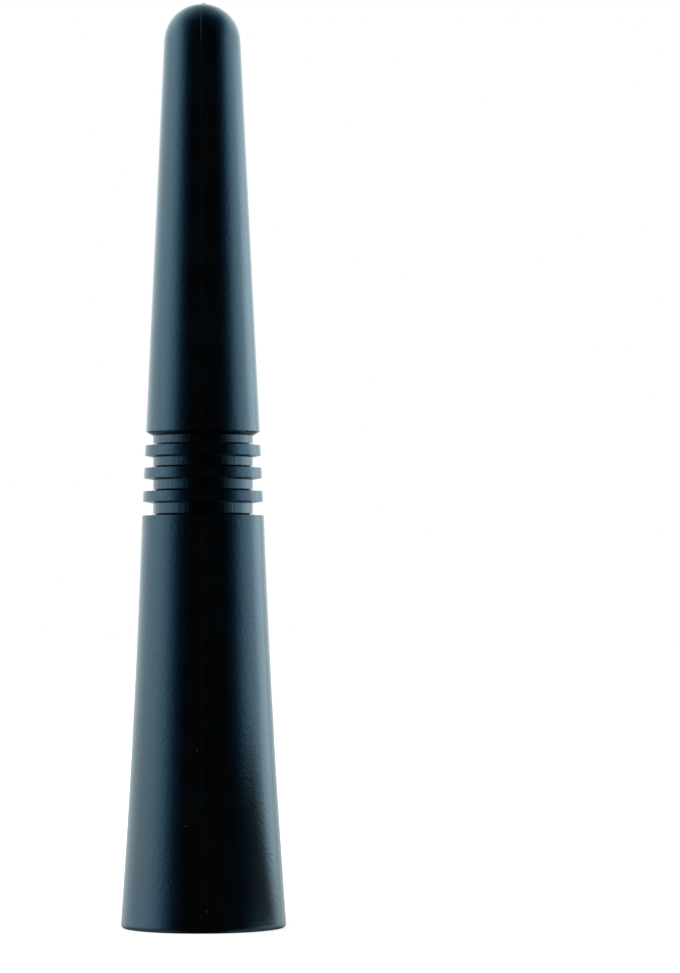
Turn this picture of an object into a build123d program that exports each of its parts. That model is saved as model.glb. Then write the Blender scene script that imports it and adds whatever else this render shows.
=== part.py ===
from build123d import *
import math
import os

# Short rubber mast aerial for a car, in millimetres.
# The origin is the middle of the base face, and +Z runs up the mast.

# Outline of the mast
mast_height = 90.0
base_diameter = 16.1
base_edge_radius = 0.35
skirt_height = 40.0
skirt_hollow = 0.19  # how far the flared side curves in from a straight cone
upper_foot_diameter = 11.1  # the upper section where it starts, just above the neck
tip_diameter = 7.48  # the ball that rounds off the tip

# Ribbed neck, from the skirt up: a groove, then a rib and a groove for each rib
rib_count = 3
rib_width = 1.12
lowest_groove_width = 1.24
groove_narrowing = 0.085  # how much narrower each groove is than the one below it
groove_depth = 0.7  # at the foot of the upper section
neck_chamfer = 0.12

# Threaded bush
thread_diameter = 6.0
thread_pitch = 1.0
thread_depth = 10.0
drill_point_angle = 118.0
mouth_chamfer = 0.5
bush_recess = 0.8  # the rubber base seats before the metal does
bush_diameter = 9.6
bush_chamfer = 0.45
waist_depth = 0.8
waist_width = 1.8
knurl_count = 20
knurl_depth = 0.35
web_thickness = 1.5  # metal between the drill point and the rod's socket
socket_depth = 4.5
spigot_length = 4.0
spigot_wall = 0.4

# Core rod, winding and shrink tube
rod_diameter = 3.0
rod_chamfer = 0.25
tip_rubber = 6.0  # solid rubber above the rod
tube_wall = 0.4
tube_end_gap = 1.0  # rod left bare above the tube
strip_width = 0.8
strip_thickness = 0.3
winding_pitch = 6.0
winding_end_gap = 3.0  # from the middle of the strip's upper end to the end of the rod

# Clearances
moulding_clearance = 0.03
socket_clearance = 0.03
winding_clearance = 0.05

# Heights and radii that follow from them
groove_widths = [lowest_groove_width - step * groove_narrowing for step in range(rib_count + 1)]
upper_foot = skirt_height + sum(groove_widths) + rib_count * rib_width
base_radius = base_diameter / 2
upper_foot_radius = upper_foot_diameter / 2
groove_floor_radius = upper_foot_radius - groove_depth

# The straight taper touches the ball at the tip, and runs on down through the ribs to the skirt
tip_radius = tip_diameter / 2
tip_center = mast_height - tip_radius
taper_run = tip_center - upper_foot
taper_angle = math.acos(tip_radius / math.hypot(upper_foot_radius, taper_run))
taper_angle -= math.atan2(taper_run, upper_foot_radius)
taper_degrees = math.degrees(taper_angle)
tip_start = (tip_radius * math.cos(taper_angle), tip_center + tip_radius * math.sin(taper_angle))
skirt_top_radius = upper_foot_radius + (upper_foot - skirt_height) * math.tan(taper_angle)

bush_radius = bush_diameter / 2
bore_radius = (thread_diameter - thread_pitch) / 2
thread_end = bush_recess + thread_depth
drill_tip = thread_end + bore_radius / math.tan(math.radians(drill_point_angle / 2))
socket_floor = drill_tip + web_thickness
spigot_top = socket_floor + socket_depth
bush_shoulder = spigot_top - spigot_length
waist_radius = bush_radius - waist_depth
waist_foot = (bush_recess + bush_shoulder - waist_width) / 2
waist_top = waist_foot + waist_width

rod_radius = rod_diameter / 2
rod_top = mast_height - tip_rubber
spigot_radius = rod_radius + socket_clearance + spigot_wall
winding_radius = rod_radius + winding_clearance + strip_thickness / 2
winding_foot = spigot_top + winding_clearance + strip_width / 2
winding_top = rod_top - winding_end_gap
tube_bore_radius = max(spigot_radius, winding_radius + strip_thickness / 2) + winding_clearance
tube_radius = tube_bore_radius + tube_wall
tube_top = rod_top - tube_end_gap

# Rubber mast: skirt, tapered upper section and domed tip in one turned outline
with BuildPart() as rubber_mast:
    with BuildSketch(Plane.XZ) as outline:
        with BuildLine():
            Line((0, 0), (base_radius, 0))
            SagittaArc((base_radius, 0), (skirt_top_radius, skirt_height), skirt_hollow)
            Line((skirt_top_radius, skirt_height), tip_start)
            CenterArc((0, tip_center), tip_radius, taper_degrees, 90 - taper_degrees)
            Line((0, mast_height), (0, 0))
        make_face()
        fillet(outline.vertices().sort_by(Axis.X)[-1], base_edge_radius)
    revolve(axis=Axis.Z)

    # The grooves, which leave the ribs standing between them
    groove_foot = skirt_height
    for groove_width in groove_widths:
        with BuildSketch(Plane.XY.offset(groove_foot)):
            Circle(base_radius)
            Circle(groove_floor_radius, mode=Mode.SUBTRACT)
        extrude(amount=groove_width, mode=Mode.SUBTRACT)
        groove_foot += groove_width + rib_width
    rim_circles = rubber_mast.edges().filter_by(GeomType.CIRCLE)
    rim_circles = rim_circles.filter_by_position(Axis.Z, skirt_height, upper_foot)
    rim_circles = rim_circles.filter_by(lambda edge: edge.radius > upper_foot_radius - groove_depth / 2)
    chamfer(rim_circles, neck_chamfer)

    # The space that the bush, tube and rod fill, with a rubber ring standing into the bush's waist
    fit_bush = bush_radius + moulding_clearance
    fit_waist = waist_radius + moulding_clearance
    fit_tube = tube_radius + moulding_clearance
    fit_rod = rod_radius + moulding_clearance
    with BuildSketch(Plane.XZ):
        with BuildLine():
            Polyline(
                (0, 0),
                (fit_bush, 0),
                (fit_bush, waist_foot + moulding_clearance),
                (fit_waist, waist_foot + moulding_clearance),
                (fit_waist, waist_top - moulding_clearance),
                (fit_bush, waist_top - moulding_clearance),
                (fit_bush, bush_shoulder + moulding_clearance),
                (fit_tube, bush_shoulder + moulding_clearance),
                (fit_tube, tube_top + moulding_clearance),
                (fit_rod, tube_top + moulding_clearance),
                (fit_rod, rod_top + moulding_clearance),
                (0, rod_top + moulding_clearance),
                close=True,
            )
        make_face()
    revolve(axis=Axis.Z, mode=Mode.SUBTRACT)
rubber_mast.part.label = "rubber_mast"

# Threaded bush: turned brass with a knurl, a waist and a spigot that takes the rod
with BuildPart() as threaded_bush:
    with BuildSketch(Plane.XZ):
        with BuildLine():
            Polyline(
                (0, bush_recess),
                (bush_radius, bush_recess),
                (bush_radius, waist_foot),
                (waist_radius, waist_foot),
                (waist_radius, waist_top),
                (bush_radius, waist_top),
                (bush_radius, bush_shoulder),
                (spigot_radius, bush_shoulder),
                (spigot_radius, spigot_top),
                (0, spigot_top),
                close=True,
            )
        make_face()
    revolve(axis=Axis.Z)
    chamfer(threaded_bush.edges().filter_by(GeomType.CIRCLE).sort_by(Axis.Z)[0], bush_chamfer)

    with BuildSketch(Plane.XY.offset(bush_recess)):
        with PolarLocations(bush_radius, knurl_count):
            Rectangle(knurl_depth * math.sqrt(2), knurl_depth * math.sqrt(2), rotation=45)
    extrude(amount=bush_shoulder - bush_recess, mode=Mode.SUBTRACT)

    # The tapped hole at its drilled size, with a chamfered mouth and a drill point
    with BuildSketch(Plane.XZ):
        with BuildLine():
            Polyline(
                (0, bush_recess),
                (bore_radius + mouth_chamfer, bush_recess),
                (bore_radius, bush_recess + mouth_chamfer),
                (bore_radius, thread_end),
                (0, drill_tip),
                close=True,
            )
        make_face()
    revolve(axis=Axis.Z, mode=Mode.SUBTRACT)

    with Locations((0, 0, spigot_top)):
        Hole(radius=rod_radius + socket_clearance, depth=socket_depth)
threaded_bush.part.label = "threaded_bush"

# Core rod: glass fibre, from the floor of the socket to just under the tip
with BuildPart() as core_rod:
    with BuildSketch(Plane.XY.offset(socket_floor)):
        Circle(rod_radius)
    extrude(amount=rod_top - socket_floor)
    chamfer(core_rod.edges().filter_by(GeomType.CIRCLE), rod_chamfer)
core_rod.part.label = "core_rod"

# Aerial winding: one flat copper strip wound round the rod, with its foot at the spigot
with BuildPart() as aerial_winding:
    with BuildLine() as strip_path:
        Helix(winding_pitch, winding_top - winding_foot, winding_radius, center=(0, 0, winding_foot))
    with BuildSketch(Plane(strip_path.line @ 0, x_dir=(1, 0, 0), z_dir=strip_path.line % 0)):
        Rectangle(strip_thickness, strip_width)
    sweep(path=strip_path.line, is_frenet=True)
aerial_winding.part.label = "aerial_winding"

# Shrink tube: over the spigot and the winding, standing on the bush's shoulder
with BuildPart() as shrink_tube:
    with BuildSketch(Plane.XY.offset(bush_shoulder)):
        Circle(tube_radius)
        Circle(tube_bore_radius, mode=Mode.SUBTRACT)
    extrude(amount=tube_top - bush_shoulder)
shrink_tube.part.label = "shrink_tube"

os.makedirs("parts", exist_ok=True)
export_step(rubber_mast.part, "parts/rubber_mast.step")
export_step(threaded_bush.part, "parts/threaded_bush.step")
export_step(core_rod.part, "parts/core_rod.step")
export_step(aerial_winding.part, "parts/aerial_winding.step")
export_step(shrink_tube.part, "parts/shrink_tube.step")
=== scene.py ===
import math

import bmesh
import bpy
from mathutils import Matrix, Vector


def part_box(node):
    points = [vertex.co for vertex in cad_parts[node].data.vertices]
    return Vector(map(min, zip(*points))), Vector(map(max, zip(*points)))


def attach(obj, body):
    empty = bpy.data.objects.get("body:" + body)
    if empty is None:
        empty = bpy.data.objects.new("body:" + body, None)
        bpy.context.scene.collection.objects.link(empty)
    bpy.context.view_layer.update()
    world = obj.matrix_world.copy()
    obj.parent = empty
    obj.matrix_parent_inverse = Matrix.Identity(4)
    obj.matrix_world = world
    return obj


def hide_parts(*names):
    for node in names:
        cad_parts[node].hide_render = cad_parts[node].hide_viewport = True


# Looks of a short rubber mast aerial for a car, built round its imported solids, in metres.
# +Z runs up the mast from the middle of its base, and the camera stands in front, on the -Y side.

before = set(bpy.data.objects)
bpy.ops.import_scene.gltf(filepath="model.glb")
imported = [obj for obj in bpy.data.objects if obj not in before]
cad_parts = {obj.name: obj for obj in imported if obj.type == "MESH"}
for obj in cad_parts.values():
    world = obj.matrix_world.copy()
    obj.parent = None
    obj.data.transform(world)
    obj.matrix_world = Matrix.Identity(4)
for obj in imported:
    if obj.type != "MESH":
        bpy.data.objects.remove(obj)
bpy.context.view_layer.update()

MM = 0.001
same_place = 0.001 * MM  # points closer than this share a height, a radius or a side

# Rubber mast, outside
mast_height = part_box("rubber_mast")[1].z
mast_sides = 144
mast_corner = 31  # degrees, and a sharper bend stays a hard edge
base_radius = 8.05 * MM
base_rounding = 0.35 * MM
base_rounding_steps = 4
skirt_height = 40.0 * MM
skirt_hollow = 0.19 * MM
skirt_rings = 12
upper_foot_radius = 5.55 * MM
taper_ring_drops = (6 * MM, 2 * MM, 0.5 * MM)  # below the middle of the ball that rounds off the tip
tip_radius = 3.74 * MM
dome_rings = 16
rib_count = 3
rib_width = 1.12 * MM
lowest_groove_width = 1.24 * MM
groove_narrowing = 0.085 * MM
groove_depth = 0.7 * MM
ledge_drop = 0.05 * MM  # how far below its groove a rib or the skirt ends
ledge_corner = 0.22 * MM  # fills the angle between that ledge and the floor of the groove
floor_end_drop = 0.1 * MM  # how far below the top of its groove a floor ends
rib_draft = 0.19 * MM  # how far the underside of a rib slopes down to the floor
foot_draft = 0.4 * MM  # and that of the upper section
holding_gap = 0.2 * MM  # from a rim to the ring that keeps the wall beside it evenly shaded

# Rubber mast, traces of its mould
nub_radius = 0.3 * MM
nub_height = 0.1 * MM
nub_lean = 0.2 * MM
nub_middle_share = 0.6  # of the radius at its foot
nub_end_share = 0.5  # of the radius at its middle
flash_width = 0.12 * MM
flash_steps = 2
flash_end_drop = 0.3 * MM  # below the top of the dome, where the flash runs out
tool_line_reach = 0.02 * MM  # how far out from the floors of the grooves

# Dust on the rubber, and a painted highlight along the flash
flash_highlight_colour = (0.022, 0.022, 0.024, 1)
flash_highlight_below_tip = 0.15  # share of the painted highlight on the tip
dust_colour = (0.03, 0.03, 0.03, 1)
dust_specks = (  # place across, height and radius of each
    (-1.45 * MM, 10.2 * MM, 0.12 * MM),
    (0.55 * MM, 2.1 * MM, 0.12 * MM),
    (-0.35 * MM, 17.4 * MM, 0.1 * MM),
    (-3.95 * MM, 3.1 * MM, 0.1 * MM),
    (3.95 * MM, 15.4 * MM, 0.1 * MM),
)

# Threaded bush, rod and tube
bush_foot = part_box("threaded_bush")[0].z
spigot_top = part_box("threaded_bush")[1].z
bush_radius = 4.8 * MM
bush_chamfer = 0.45 * MM
bush_sides = 80
bush_corner = 30  # degrees, as for the mast
waist_radius = 4.0 * MM
waist_width = 1.8 * MM
knurl_count = 20
knurl_depth = 0.35 * MM
knurl_tolerance = 0.01  # of the knurl's pitch
spigot_radius = 1.93 * MM
spigot_length = 4.0 * MM
socket_radius = 1.53 * MM
socket_depth = 4.5 * MM
bore_radius = 2.5 * MM
mouth_chamfer = 0.6 * MM
drill_sides = 96
drill_point = 1.5 * MM
drill_point_flat = 0.01 * MM
thread_pitch = 1.0 * MM
thread_root_radius = 3.0 * MM
thread_crest_radius = 2.45 * MM  # of the tap, just inside the bore
thread_flank_angle = 30
thread_depth = 10.0 * MM
thread_steps = 64  # in one turn
tap_lead = 2 * thread_pitch  # from the start of the tap up to the bush
tap_overhang = 0.3 * thread_pitch  # what stays of that lead
tap_spare_turns = 3
tube_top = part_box("shrink_tube")[1].z
tube_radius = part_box("shrink_tube")[1].x
rod_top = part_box("core_rod")[1].z
rod_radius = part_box("core_rod")[1].x
moulding_clearance = 0.03 * MM

# Camera, from the place of the mast in the photograph
camera_distance = 400 * MM
camera_right_of_mast = 13.31 * MM
eye_height = 32.5 * MM
camera_pitch = 1.469  # degrees
camera_roll = 0.14  # degrees
camera_lens = 152.1
sensor_width = 36.0

# Floor, room and lamps, from the gloss of the mast in the photograph
floor_size = 4.0
floor_glow = 0.62  # what the floor adds to its own light for the camera
room_white = (1.0, 1.0, 1.0)
room_fill = 0.8  # strength of the light on all that isn't glossy
room_gloss = 2.45  # strength of the room in reflections
room_sheen = (0.82, 0.96, 1.0)
room_tones = {  # colours of the room in reflections, from its front at 0 to its back at 1
    0.08: (0.0, 0.0, 0.0),
    0.175: (0.012, 0.04, 0.07),
    0.26: (0.17, 0.3, 0.39),
    0.33: (0.5, 0.63, 0.7),
    0.5: room_sheen,
    0.75: (0.7, 0.82, 0.86),
}
softbox_radiance = 1.2  # a white wall has 1
# A dark sheet that only reflections show: a painted dark reflection, standing in for the studs beside the
# mast, which are left out
painted_reflection_distance = 30 * MM
painted_reflection_reach = 40 * MM
painted_reflection_density = 0.92
painted_reflection_upper_edge = (14.5 * MM, 22.5 * MM)  # full below the first height, none above the second
painted_reflection_slanted_edge = (7.2 * MM, 20 * MM)  # the same beside the mast, for the edge that falls to the back

# Limits in the room are directions from -1 to 1, and each pair runs from all of a thing to none of it
left_turn = 0.03  # how far the tones of each side turn round the mast
right_turn = 0.085
overhead_limits = (0.8, 0.2)
overhead_narrowing = 0.55  # how much of the way to the back the tones overhead lose
overhead_dimming = 0.52  # how far they shift to the front
ceiling_middle = (0.0, 0.75)
ceiling_loss = 0.7
ground_limits = (0.2, -0.35)
ground_level = 0.03
side_floor_depth = (-0.5, -0.2)
side_floor_width = (0.7, 0.35)
side_floor_gloss = 0.6
side_floor_shift = 0.5  # how far its tones shift to the back

# Heights and radii that follow from them
groove_widths = [lowest_groove_width - step * groove_narrowing for step in range(rib_count + 1)]
upper_foot = skirt_height + sum(groove_widths) + rib_count * rib_width
groove_floor_radius = upper_foot_radius - groove_depth
dome_top = mast_height - nub_height
tip_center = dome_top - tip_radius
taper_run = tip_center - upper_foot
taper_angle = math.acos(tip_radius / math.hypot(upper_foot_radius, taper_run))
taper_angle -= math.atan2(taper_run, upper_foot_radius)
flash_stretches = (  # where each starts, and how much further it lifts the flash from there up
    (base_rounding, 0.003 * MM),
    (upper_foot, 0.004 * MM),
    (tip_center - 4 * MM, 0.006 * MM),
    (tip_center - 1 * MM, 0.008 * MM),
)
# painted highlight along the flash, from the tip down
flash_highlight_limits = (tip_center - 1 * MM, tip_center + 0.6 * MM)  # faint below the first, full above the second
bush_shoulder = spigot_top - spigot_length
waist_foot = (bush_foot + bush_shoulder - waist_width) / 2
waist_top = waist_foot + waist_width
thread_end = bush_foot + thread_depth


def taper_radius(height):
    """Radius of the straight taper, which the ribs follow too."""
    return upper_foot_radius + (upper_foot - height) * math.tan(taper_angle)


def skirt_radius(height):
    """Radius of the flared skirt, a little hollow between its two ends."""
    rise = height / skirt_height
    straight = base_radius + (taper_radius(skirt_height) - base_radius) * rise
    return straight - 4 * skirt_hollow * rise * (1 - rise)


# Modelling by hand

def start_round_piece(name, sides, height, radius):
    """Add a round plate and open it for editing, with its face chosen."""
    bpy.ops.object.select_all(action="DESELECT")
    bpy.ops.mesh.primitive_circle_add(
        vertices=sides, radius=radius, fill_type="NGON", location=(0, 0, height)
    )
    piece = bpy.context.object
    piece.name = name
    piece.data.name = name
    bpy.ops.object.transform_apply(location=True, rotation=True, scale=True)
    bpy.ops.object.mode_set(mode="EDIT")
    bpy.ops.mesh.select_mode(type="FACE")
    bpy.ops.mesh.select_all(action="SELECT")
    return piece


def edited_mesh():
    """The mesh that is open for editing."""
    return bmesh.from_edit_mesh(bpy.context.edit_object.data)


def axis_distance(vertex):
    """How far a vertex lies from the axis of the mast."""
    return math.hypot(vertex.co.x, vertex.co.y)


def draw_on(height, radius):
    """Extrude the chosen round face to a height, and scale it to a radius."""
    rim = [vertex for vertex in edited_mesh().verts if vertex.select]
    rise = height - rim[0].co.z
    growth = radius / max(axis_distance(vertex) for vertex in rim)
    bpy.ops.mesh.extrude_region_move(TRANSFORM_OT_translate={"value": (0, 0, rise)})
    bpy.ops.transform.resize(value=(growth, growth, 1), center_override=(0, 0, height))


def draw_through(*rings):
    """Draw on through several rings, each with its height and its radius."""
    for height, radius in rings:
        draw_on(height, radius)


def choose_face_at(height):
    """Choose the flat faces that lie at one height."""
    bpy.ops.mesh.select_mode(type="FACE")
    bpy.ops.mesh.select_all(action="DESELECT")
    for face in edited_mesh().faces:
        face.select_set(all(abs(vertex.co.z - height) < same_place for vertex in face.verts))
    bmesh.update_edit_mesh(bpy.context.edit_object.data)


def choose_edges(is_chosen):
    """Choose the edges whose two ends both pass a test."""
    bpy.ops.mesh.select_mode(type="EDGE")
    bpy.ops.mesh.select_all(action="DESELECT")
    for edge in edited_mesh().edges:
        edge.select_set(all(is_chosen(vertex) for vertex in edge.verts))
    bmesh.update_edit_mesh(bpy.context.edit_object.data)


def choose_vertices(is_chosen):
    """Choose the vertices that pass a test."""
    bpy.ops.mesh.select_mode(type="VERT")
    bpy.ops.mesh.select_all(action="DESELECT")
    for vertex in edited_mesh().verts:
        vertex.select_set(is_chosen(vertex))
    bmesh.update_edit_mesh(bpy.context.edit_object.data)


def close_piece(corner):
    """Turn all faces outwards, leave edit mode and shade the piece smooth except at its corners."""
    bpy.ops.mesh.select_all(action="SELECT")
    bpy.ops.mesh.normals_make_consistent(inside=False)
    bpy.ops.object.mode_set(mode="OBJECT")
    bpy.ops.object.shade_smooth_by_angle(angle=math.radians(corner))


def even_shading(piece):
    """Let the wide faces set the shading, so that a rounded rim doesn't darken the wall beside it."""
    shading = piece.modifiers.new("even_shading", "WEIGHTED_NORMAL")
    shading.keep_sharp = True
    bpy.ops.object.modifier_apply(modifier=shading.name)


# Rubber mast

def draw_skirt():
    """Draw the flared skirt up to the ledge of the lowest groove."""
    draw_on(base_rounding + holding_gap, skirt_radius(base_rounding + holding_gap))
    for ring in range(1, skirt_rings):
        height = skirt_height * ring / skirt_rings
        draw_on(height, skirt_radius(height))
    for drop in (holding_gap, ledge_drop):
        draw_on(skirt_height - drop, skirt_radius(skirt_height - drop))


def draw_neck():
    """Draw the grooves, with a rib above each one but the last, and the rim of the upper section."""
    height = skirt_height
    for groove_width in groove_widths:
        ledge = height - ledge_drop
        draw_on(ledge, groove_floor_radius + ledge_corner)
        draw_on(ledge + ledge_corner, groove_floor_radius)
        height += groove_width
        floor_end = height - floor_end_drop
        draw_on(floor_end, groove_floor_radius)
        under_foot = height > upper_foot - rib_width
        rim = floor_end + (foot_draft if under_foot else rib_draft)
        for rise in (0, holding_gap):
            draw_on(rim + rise, taper_radius(rim + rise))
        if not under_foot:
            height += rib_width
            for drop in (holding_gap, ledge_drop):
                draw_on(height - drop, taper_radius(height - drop))


def draw_tip():
    """Draw the straight taper and the dome, up to the foot of the nub."""
    for drop in taper_ring_drops:
        draw_on(tip_center - drop, taper_radius(tip_center - drop))
    last_angle = math.acos(nub_radius / tip_radius)
    for ring in range(dome_rings + 1):
        angle = taper_angle + (last_angle - taper_angle) * ring / dome_rings
        draw_on(tip_center + tip_radius * math.sin(angle), tip_radius * math.cos(angle))


def draw_nub():
    """Draw the leaning nub where the rubber was torn off its runner."""
    draw_on(dome_top + nub_height / 2, nub_radius * nub_middle_share)
    bpy.ops.transform.translate(value=(nub_lean / 2, 0, 0))
    bpy.ops.mesh.extrude_region_move(TRANSFORM_OT_translate={"value": (nub_lean / 2, 0, nub_height / 2)})
    bpy.ops.transform.resize(
        value=(nub_end_share, nub_end_share, 1), center_override=(nub_lean, 0, mast_height)
    )


def round_base_edge():
    """Round the edge between the base and the skirt."""
    def on_base_edge(vertex):
        return vertex.co.z < same_place and axis_distance(vertex) > base_radius - same_place

    choose_edges(on_base_edge)
    bpy.ops.mesh.bevel(offset=base_rounding, segments=base_rounding_steps, affect="EDGES")


def raise_flash():
    """Raise the fine line that the two halves of the mould left on the front and the back."""
    def on_parting_line(vertex):
        return abs(vertex.co.x) < same_place and base_rounding < vertex.co.z < dome_top - flash_end_drop

    choose_edges(on_parting_line)
    bpy.ops.mesh.bevel(offset=flash_width / 2, segments=flash_steps, affect="EDGES")
    for foot, lift in flash_stretches:
        for side in (-1, 1):
            choose_vertices(
                lambda vertex: on_parting_line(vertex) and vertex.co.y * side > 0 and vertex.co.z > foot
            )
            bpy.ops.transform.translate(value=(0, side * lift, 0))


def hollow_base():
    """Sink the pocket that the bush, the tube and the rod fill into the base."""
    fit_bush = bush_radius + moulding_clearance
    fit_waist = waist_radius + moulding_clearance
    fit_tube = tube_radius + moulding_clearance
    fit_rod = rod_radius + moulding_clearance
    choose_face_at(0)
    draw_through(
        (0, base_radius - base_rounding - holding_gap),
        (0, fit_bush),
        (waist_foot + moulding_clearance, fit_bush),
        (waist_foot + moulding_clearance, fit_waist),
        (waist_top - moulding_clearance, fit_waist),
        (waist_top - moulding_clearance, fit_bush),
        (bush_shoulder + moulding_clearance, fit_bush),
        (bush_shoulder + moulding_clearance, fit_tube),
        (tube_top + moulding_clearance, fit_tube),
        (tube_top + moulding_clearance, fit_rod),
        (rod_top + moulding_clearance, fit_rod),
    )


def model_rubber_mast():
    """Model the mast from its base up, then its edge, its flash and its hollow."""
    mast = start_round_piece("mast_rubber", mast_sides, 0, base_radius)
    draw_skirt()
    draw_neck()
    draw_tip()
    draw_nub()
    round_base_edge()
    raise_flash()
    hollow_base()
    close_piece(mast_corner)
    even_shading(mast)
    return mast


# Threaded bush

def cut_knurl():
    """Press the straight knurl into the two wide bands of the bush."""
    def in_knurl(vertex):
        if axis_distance(vertex) < bush_radius - same_place:
            return False
        turn = math.atan2(vertex.co.y, vertex.co.x) / math.tau * knurl_count
        return abs(turn - round(turn)) < knurl_tolerance

    choose_vertices(in_knurl)
    growth = 1 - knurl_depth / bush_radius
    bpy.ops.transform.resize(value=(growth, growth, 1), center_override=(0, 0, 0))


def model_drill():
    """The drilled hole with its chamfered mouth and its point, as a solid to cut with."""
    drill = start_round_piece(
        "bore_drill", drill_sides, bush_foot - mouth_chamfer, bore_radius + 2 * mouth_chamfer
    )
    draw_through(
        (bush_foot + mouth_chamfer, bore_radius),
        (thread_end, bore_radius),
        (thread_end + drill_point, drill_point_flat),
    )
    close_piece(bush_corner)
    return drill


def draw_tap_outline():
    """Draw the outline of one turn of the thread, from a plate that is merged to a point."""
    ridge = thread_root_radius - thread_crest_radius
    flank = ridge * math.tan(math.radians(thread_flank_angle))
    root_flat = thread_pitch / 8
    crest_flat = thread_pitch - root_flat - 2 * flank

    bpy.ops.object.select_all(action="DESELECT")
    bpy.ops.mesh.primitive_plane_add(size=MM, location=(thread_crest_radius, 0, bush_foot - tap_lead))
    tap = bpy.context.object
    bpy.ops.object.transform_apply(location=True, rotation=True, scale=True)
    bpy.ops.object.mode_set(mode="EDIT")
    bpy.ops.mesh.select_all(action="SELECT")
    bpy.ops.mesh.merge(type="CENTER")
    for outward, upward in ((0, crest_flat), (ridge, flank), (0, root_flat), (-ridge, flank)):
        bpy.ops.mesh.extrude_region_move(TRANSFORM_OT_translate={"value": (outward, 0, upward)})
    bpy.ops.object.mode_set(mode="OBJECT")
    return tap


def model_tap():
    """The thread as a solid to cut with: its outline screwed up the axis and cut flat at both ends."""
    tap = draw_tap_outline()
    screw = tap.modifiers.new("thread", "SCREW")
    screw.screw_offset = thread_pitch
    screw.iterations = round(thread_depth / thread_pitch) + tap_spare_turns
    screw.steps = thread_steps
    screw.render_steps = thread_steps
    bpy.ops.object.modifier_apply(modifier=screw.name)

    bpy.ops.object.mode_set(mode="EDIT")
    bpy.ops.mesh.select_all(action="SELECT")
    bpy.ops.mesh.remove_doubles(threshold=same_place)
    for height, upward in ((bush_foot - tap_overhang, -1), (thread_end, 1)):
        bpy.ops.mesh.select_all(action="SELECT")
        bpy.ops.mesh.bisect(
            plane_co=(0, 0, height), plane_no=(0, 0, upward), use_fill=True, clear_outer=True
        )
    close_piece(bush_corner)
    return tap


def cut_away(piece, cutter):
    """Cut one solid out of a piece and take the cutter off the bench."""
    bpy.ops.object.select_all(action="DESELECT")
    piece.select_set(True)
    bpy.context.view_layer.objects.active = piece
    cut = piece.modifiers.new("cut", "BOOLEAN")
    cut.operation = "DIFFERENCE"
    cut.solver = "EXACT"
    cut.object = cutter
    bpy.ops.object.modifier_apply(modifier=cut.name)
    bpy.data.objects.remove(cutter)


def model_threaded_bush():
    """Model the bush from its foot up and down into its socket, then knurl, drill and tap it."""
    bush = start_round_piece("bush_brass", bush_sides, bush_foot, bush_radius - bush_chamfer)
    draw_through(
        (bush_foot + bush_chamfer, bush_radius),
        (waist_foot, bush_radius),
        (waist_foot, waist_radius),
        (waist_top, waist_radius),
        (waist_top, bush_radius),
        (bush_shoulder, bush_radius),
        (bush_shoulder, spigot_radius),
        (spigot_top, spigot_radius),
        (spigot_top, socket_radius),
        (spigot_top - socket_depth, socket_radius),
    )
    cut_knurl()
    close_piece(bush_corner)
    cut_away(bush, model_drill())
    cut_away(bush, model_tap())
    bpy.ops.object.shade_smooth_by_angle(angle=math.radians(bush_corner))
    return bush


# Nodes of a finish, or of the light in the room

def feed(owner, node, *values, **sockets):
    """Set or link the sockets of a node, in their order or by their names."""
    chosen = list(zip(node.inputs, values))
    for name, value in sockets.items():
        chosen.append((node.inputs[name.replace("_", " ")], value))
    for socket, value in chosen:
        if isinstance(value, bpy.types.NodeSocket):
            owner.node_tree.links.new(value, socket)
        else:
            socket.default_value = value


def add_node(owner, kind, settings=(), *values, **sockets):
    """Add a node with its settings, and feed its sockets."""
    node = owner.node_tree.nodes.new("ShaderNode" + kind)
    for name, value in dict(settings).items():
        setattr(node, name, value)
    feed(owner, node, *values, **sockets)
    return node


def split(owner, place):
    """The X, Y and Z of a place or of a direction."""
    return add_node(owner, "SeparateXYZ", Vector=place).outputs


def calculate(owner, operation, *values):
    """One step of arithmetic."""
    return add_node(owner, "Math", {"operation": operation}, *values).outputs[0]


def ramp(owner, value, low, high, start=0.0, end=1.0):
    """A number that goes from low to high as a value goes from start to end."""
    node = add_node(owner, "MapRange", Value=value, From_Min=start, From_Max=end, To_Min=low, To_Max=high)
    return node.outputs["Result"]


def fade_out(owner, value, start, end, rest=0.0):
    """A level that falls from 1 to its rest as a value goes from start to end."""
    return ramp(owner, value, 1.0, rest, start, end)


def blend(owner, value, tones):
    """A colour that follows a value through tones, each with its position."""
    node = add_node(owner, "ValToRGB", Fac=value)
    stops = node.color_ramp.elements
    for position, colour in tones.items():
        stops.new(position).color = (*colour, 1)
    stops.remove(stops[0])
    stops.remove(stops[len(stops) - 1])
    return node.outputs["Color"]


# Finishes

def new_finish(name):
    """A material, its shader, and the place on the piece that its patterns read."""
    finish = bpy.data.materials.new(name)
    finish.use_nodes = True
    shader = finish.node_tree.nodes["Principled BSDF"]
    place = finish.node_tree.nodes.new("ShaderNodeTexCoord").outputs["Object"]
    return finish, shader, place


def grain(finish, place, size, stretch=(1, 1, 1), detail=2.0):
    """Noise whose patches are about the given size in metres, stretched where it runs along a piece."""
    mapped = add_node(finish, "Mapping", Vector=place, Scale=stretch)
    noise = add_node(finish, "TexNoise", Vector=mapped.outputs["Vector"], Scale=1 / size, Detail=detail)
    return noise.outputs["Fac"]


def mottle(finish, pattern, dark, light):
    """A colour that follows a pattern from a dark to a light tone."""
    return blend(finish, pattern, {0.3: dark, 0.7: light})


def cover(finish, share, under, over):
    """A colour with another over it, where the share of that is above 0."""
    return add_node(finish, "MixRGB", Fac=share, Color1=under, Color2=over).outputs["Color"]


def rough_up(finish, pattern, depth, strength, **under):
    """Raise a pattern on the surface by a depth in metres, over the Normal under it if there is one."""
    bump = add_node(finish, "Bump", Height=pattern, Distance=depth, Strength=strength, **under)
    return bump.outputs["Normal"]


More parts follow.
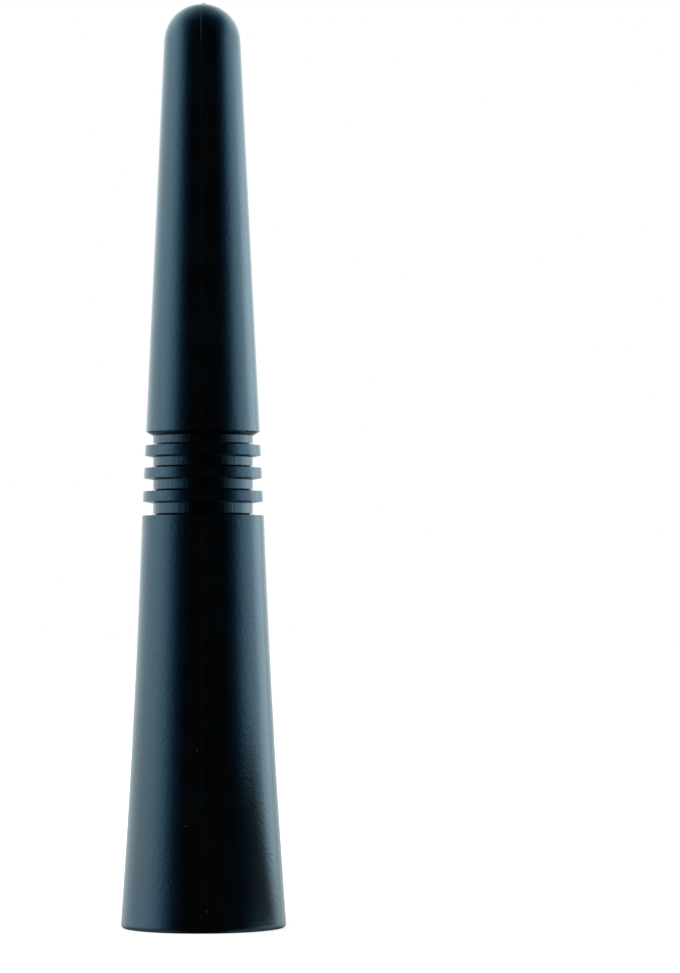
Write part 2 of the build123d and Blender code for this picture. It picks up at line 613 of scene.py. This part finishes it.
def tool_lines(finish, place):
    """Upright lines that a tool left on the floors of the grooves."""
    x, y, z = split(finish, place)
    across = add_node(finish, "CombineXYZ", X=x, Y=y).outputs["Vector"]
    radius = add_node(finish, "VectorMath", {"operation": "LENGTH"}, across).outputs["Value"]
    low = calculate(finish, "LESS_THAN", z, upper_foot)
    deep = calculate(finish, "LESS_THAN", radius, groove_floor_radius + tool_line_reach)
    in_groove = calculate(finish, "MULTIPLY", low, deep)
    lines = ramp(finish, grain(finish, place, 0.14 * MM, stretch=(1, 1, 0.02), detail=4), -0.5, 0.5)
    return calculate(finish, "MULTIPLY", lines, in_groove)


def dust_on(finish, place):
    """How dusty the rubber is: 1 in the middle of a speck, 0 where it is clean."""
    flat = add_node(finish, "VectorMath", {"operation": "MULTIPLY"}, place, (1, 0, 1)).outputs["Vector"]
    dust = 0.0
    for across, up, radius in dust_specks:
        away = add_node(finish, "VectorMath", {"operation": "DISTANCE"}, flat, (across, 0, up))
        speck = fade_out(finish, away.outputs["Value"], radius / 2, radius)
        dust = calculate(finish, "MAXIMUM", dust, speck)
    return dust


def painted_flash_highlight(finish, place):
    """How much painted highlight the rubber has: only along the flash, and more on the tip than below it."""
    parts = split(finish, place)
    off_line = calculate(finish, "ABSOLUTE", parts["X"])
    on_line = fade_out(finish, off_line, flash_width / 4, flash_width / 2)
    highlight = ramp(finish, parts["Z"], flash_highlight_below_tip, 1.0, *flash_highlight_limits)
    return calculate(finish, "MULTIPLY", on_line, highlight)


def black_rubber():
    """Satin black rubber: fine mould grain, cloudy gloss, tool lines in the grooves, a little dust and a
    painted highlight along the flash.
    """
    finish, shader, place = new_finish("black_rubber")
    cloud = grain(finish, place, 3 * MM, detail=4)
    fine = grain(finish, place, 0.36 * MM, detail=3)
    colour = mottle(finish, cloud, dark=(0.0006, 0.0008, 0.0012), light=(0.0012, 0.0016, 0.0022))
    colour = cover(finish, dust_on(finish, place), colour, dust_colour)
    # painted highlight: a lighter colour along the flash, most on the tip
    colour = cover(finish, painted_flash_highlight(finish, place), colour, flash_highlight_colour)
    normal = rough_up(finish, fine, depth=0.024 * MM, strength=0.8)
    normal = rough_up(finish, tool_lines(finish, place), depth=0.05 * MM, strength=0.7, Normal=normal)
    gloss = ramp(finish, cloud, 0.18, 0.26)
    feed(finish, shader, Base_Color=colour, Roughness=gloss, Normal=normal)
    feed(finish, shader, Specular_IOR_Level=1.0, Specular_Tint=(0.44, 0.77, 1.0, 1))
    return finish


def turned_brass():
    """Turned brass with fine tool rings and a little tarnish."""
    finish, shader, place = new_finish("turned_brass")
    tarnish = grain(finish, place, 1.5 * MM, detail=5)
    rings = add_node(
        finish, "TexWave", {"wave_type": "RINGS", "rings_direction": "Z"},
        Vector=place, Scale=1 / (0.25 * MM), Distortion=0.6, Detail=2.0,
    )
    colour = mottle(finish, tarnish, dark=(0.42, 0.27, 0.1), light=(0.8, 0.58, 0.27))
    normal = rough_up(finish, rings.outputs["Fac"], depth=0.01 * MM, strength=0.4)
    gloss = ramp(finish, tarnish, 0.38, 0.2)
    feed(finish, shader, Base_Color=colour, Roughness=gloss, Normal=normal, Metallic=1.0)
    return finish


def glass_fibre():
    """Pale drawn glass fibre with strands that run along the rod."""
    finish, shader, place = new_finish("glass_fibre")
    strands = grain(finish, place, 0.15 * MM, stretch=(1, 1, 0.02), detail=4)
    colour = mottle(finish, strands, dark=(0.62, 0.58, 0.42), light=(0.86, 0.83, 0.7))
    normal = rough_up(finish, strands, depth=0.03 * MM, strength=0.4)
    gloss = ramp(finish, strands, 0.35, 0.55)
    feed(finish, shader, Base_Color=colour, Roughness=gloss, Normal=normal)
    return finish


def copper_strip():
    """Bare copper strip with rolling marks and darker tarnish."""
    finish, shader, place = new_finish("copper_strip")
    tarnish = grain(finish, place, 2.5 * MM, detail=5)
    rolling = grain(finish, place, 0.1 * MM, stretch=(0.05, 0.05, 1))
    colour = mottle(finish, tarnish, dark=(0.4, 0.17, 0.09), light=(0.78, 0.4, 0.25))
    normal = rough_up(finish, rolling, depth=0.01 * MM, strength=0.3)
    gloss = ramp(finish, tarnish, 0.42, 0.24)
    feed(finish, shader, Base_Color=colour, Roughness=gloss, Normal=normal, Metallic=1.0)
    return finish


def shrink_plastic():
    """Black heat-shrink plastic, slightly puckered."""
    finish, shader, place = new_finish("shrink_plastic")
    pucker = grain(finish, place, 0.9 * MM, stretch=(1, 1, 0.5), detail=3)
    colour = mottle(finish, pucker, dark=(0.012, 0.012, 0.013), light=(0.03, 0.03, 0.032))
    normal = rough_up(finish, pucker, depth=0.08 * MM, strength=0.4)
    gloss = ramp(finish, pucker, 0.36, 0.52)
    feed(finish, shader, Base_Color=colour, Roughness=gloss, Normal=normal)
    return finish


def white_floor():
    """White floor that looks white to the camera and still takes the shadow of the mast."""
    finish, shader, place = new_finish("white_floor")
    colour = mottle(finish, grain(finish, place, 40 * MM), dark=(0.6, 0.6, 0.6), light=(0.62, 0.62, 0.62))
    path = add_node(finish, "LightPath")
    glow = calculate(finish, "MULTIPLY", path.outputs["Is Camera Ray"], floor_glow)
    feed(finish, shader, Base_Color=colour, Roughness=0.9, Specular_IOR_Level=0.0)
    feed(finish, shader, Emission_Color=(*room_white, 1), Emission_Strength=glow)
    return finish


def painted_dark_reflection():
    """Black sheet for a painted dark reflection, which thins out towards its upper edge and towards the
    back.
    """
    finish, shader, place = new_finish("painted_dark_reflection")
    parts = split(finish, place)
    slant = calculate(finish, "ADD", parts["Y"], parts["Z"])
    upper = ramp(finish, parts["Z"], painted_reflection_density, 0.0, *painted_reflection_upper_edge)
    slanted = ramp(finish, slant, painted_reflection_density, 0.0, *painted_reflection_slanted_edge)
    feed(finish, shader, Base_Color=(0.001, 0.002, 0.003, 1), Roughness=1.0, Specular_IOR_Level=0.0)
    feed(finish, shader, Alpha=calculate(finish, "MINIMUM", upper, slanted))
    return finish


def wear(piece, finish):
    """Give a piece its finish in place of the one it came with."""
    piece.data.materials.clear()
    piece.data.materials.append(finish)


# Studio

def lay_floor():
    """Lay a wide white floor, which reflections don't show."""
    bpy.ops.object.select_all(action="DESELECT")
    bpy.ops.mesh.primitive_plane_add(size=floor_size, location=(0, 0, 0))
    floor = bpy.context.object
    floor.name = "studio_floor"
    floor.visible_glossy = False
    wear(floor, white_floor())


def room_tone(world, rightward, backward, overhead, side_floor):
    """The colour of the room in each direction: black in front and white from the sides to the back."""
    shift = calculate(world, "MULTIPLY_ADD", backward, -overhead_narrowing, -overhead_dimming)
    lowered = calculate(world, "MULTIPLY_ADD", overhead, shift, backward)
    towards_back = calculate(world, "MULTIPLY_ADD", lowered, 0.5, 0.5)
    turns = [calculate(world, "MULTIPLY", rightward, turn) for turn in (left_turn, right_turn)]
    towards_back = calculate(world, "SUBTRACT", towards_back, calculate(world, "MAXIMUM", *turns))
    towards_back = calculate(world, "MULTIPLY_ADD", side_floor, side_floor_shift, towards_back)
    return blend(world, towards_back, room_tones)


def room_level(world, off_middle, upward, overhead, side_floor):
    """The strength of the room in each direction: less in the middle of the ceiling and on the ground."""
    middle = fade_out(world, off_middle, *ceiling_middle)
    overhead_middle = calculate(world, "MULTIPLY", overhead, middle)
    ceiling = calculate(world, "MULTIPLY_ADD", overhead_middle, -ceiling_loss, 1.0)
    ground = fade_out(world, upward, *ground_limits, rest=ground_level)
    level = calculate(world, "MULTIPLY", calculate(world, "MULTIPLY", ceiling, ground), room_gloss)
    return calculate(world, "MULTIPLY_ADD", side_floor, side_floor_gloss, level)


def light_room():
    """Light a white room that reflections show dim in front of the mast, so that only its sides shine."""
    world = bpy.data.worlds.new("white_room")
    bpy.context.scene.world = world
    world.use_nodes = True

    direction = add_node(world, "TexCoord").outputs["Generated"]
    rightward, backward, upward = split(world, direction)
    off_middle = calculate(world, "ABSOLUTE", rightward)
    overhead = fade_out(world, upward, *overhead_limits)
    below = fade_out(world, upward, *side_floor_depth)
    beside = fade_out(world, off_middle, *side_floor_width)
    side_floor = calculate(world, "MULTIPLY", below, beside)
    tone = room_tone(world, rightward, backward, overhead, side_floor)
    level = room_level(world, off_middle, upward, overhead, side_floor)

    path = add_node(world, "LightPath").outputs
    glossy = path["Is Glossy Ray"]
    seen = calculate(world, "MAXIMUM", path["Is Camera Ray"], path["Is Transmission Ray"])
    fill = calculate(world, "MAXIMUM", seen, room_fill)
    strength = add_node(world, "Mix", Factor=glossy, A=fill, B=level).outputs["Result"]
    colour = add_node(world, "Mix", {"data_type": "RGBA"}, Factor=glossy, A=(*room_white, 1), B=tone)
    feed(world, world.node_tree.nodes["Background"], Color=colour.outputs["Result"], Strength=strength)


def hang_softbox(name, place, turn, width, height):
    """Hang a large soft lamp that stands upright and is turned to face the mast."""
    bpy.ops.object.light_add(type="AREA", location=place, rotation=(math.radians(90), 0, math.radians(turn)))
    softbox = bpy.context.object
    softbox.name = name
    softbox.data.shape = "RECTANGLE"
    softbox.data.size = width
    softbox.data.size_y = height
    softbox.data.energy = softbox_radiance * math.pi * width * height
    softbox.data.color = room_sheen
    softbox.visible_camera = False
    softbox.visible_glossy = False
    return softbox


def hang_softboxes():
    """Hang a lamp on each side and one behind. Reflections show only the one on the right."""
    hang_softbox("left_softbox", place=(-0.3, 0.12, 0.15), turn=-90, width=0.4, height=0.6)
    right = hang_softbox("right_softbox", place=(0.3, 0.21, 0.07), turn=90, width=0.22, height=0.14)
    right.visible_glossy = True
    hang_softbox("back_softbox", place=(0, 0.5, 0.2), turn=180, width=0.8, height=0.6)


def hang_painted_dark_reflection():
    """Hang a dark sheet that only reflections show, a painted dark reflection standing in for the studs
    beside the mast, which are left out, to keep the foot of the right side dim.
    """
    bpy.ops.object.select_all(action="DESELECT")
    bpy.ops.mesh.primitive_plane_add(
        size=2 * painted_reflection_reach, location=(painted_reflection_distance, 0, painted_reflection_reach), rotation=(0, math.radians(90), 0)
    )
    painted_reflection = bpy.context.object
    painted_reflection.name = "painted_dark_reflection"
    bpy.ops.object.transform_apply(location=True, rotation=True, scale=True)
    painted_reflection.visible_camera = False
    painted_reflection.visible_diffuse = False
    painted_reflection.visible_shadow = False
    wear(painted_reflection, painted_dark_reflection())


def set_camera():
    """Stand the camera where the photograph was taken from."""
    bpy.ops.object.camera_add(
        location=(camera_right_of_mast, -camera_distance, eye_height),
        rotation=(math.radians(90 + camera_pitch), math.radians(camera_roll), 0),
    )
    camera = bpy.context.object
    camera.data.lens = camera_lens
    camera.data.sensor_width = sensor_width
    bpy.context.scene.camera = camera


# The dressed part

mast = model_rubber_mast()
wear(mast, black_rubber())
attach(mast, "root")
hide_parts("rubber_mast")

bush = model_threaded_bush()
wear(bush, turned_brass())
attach(bush, "root")
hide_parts("threaded_bush")

wear(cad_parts["core_rod"], glass_fibre())
wear(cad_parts["aerial_winding"], copper_strip())
wear(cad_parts["shrink_tube"], shrink_plastic())

lay_floor()
light_room()
hang_softboxes()
# painted dark reflection at the foot of the right side of the mast
hang_painted_dark_reflection()
set_camera()
bpy.context.scene.view_settings.view_transform = "Standard"
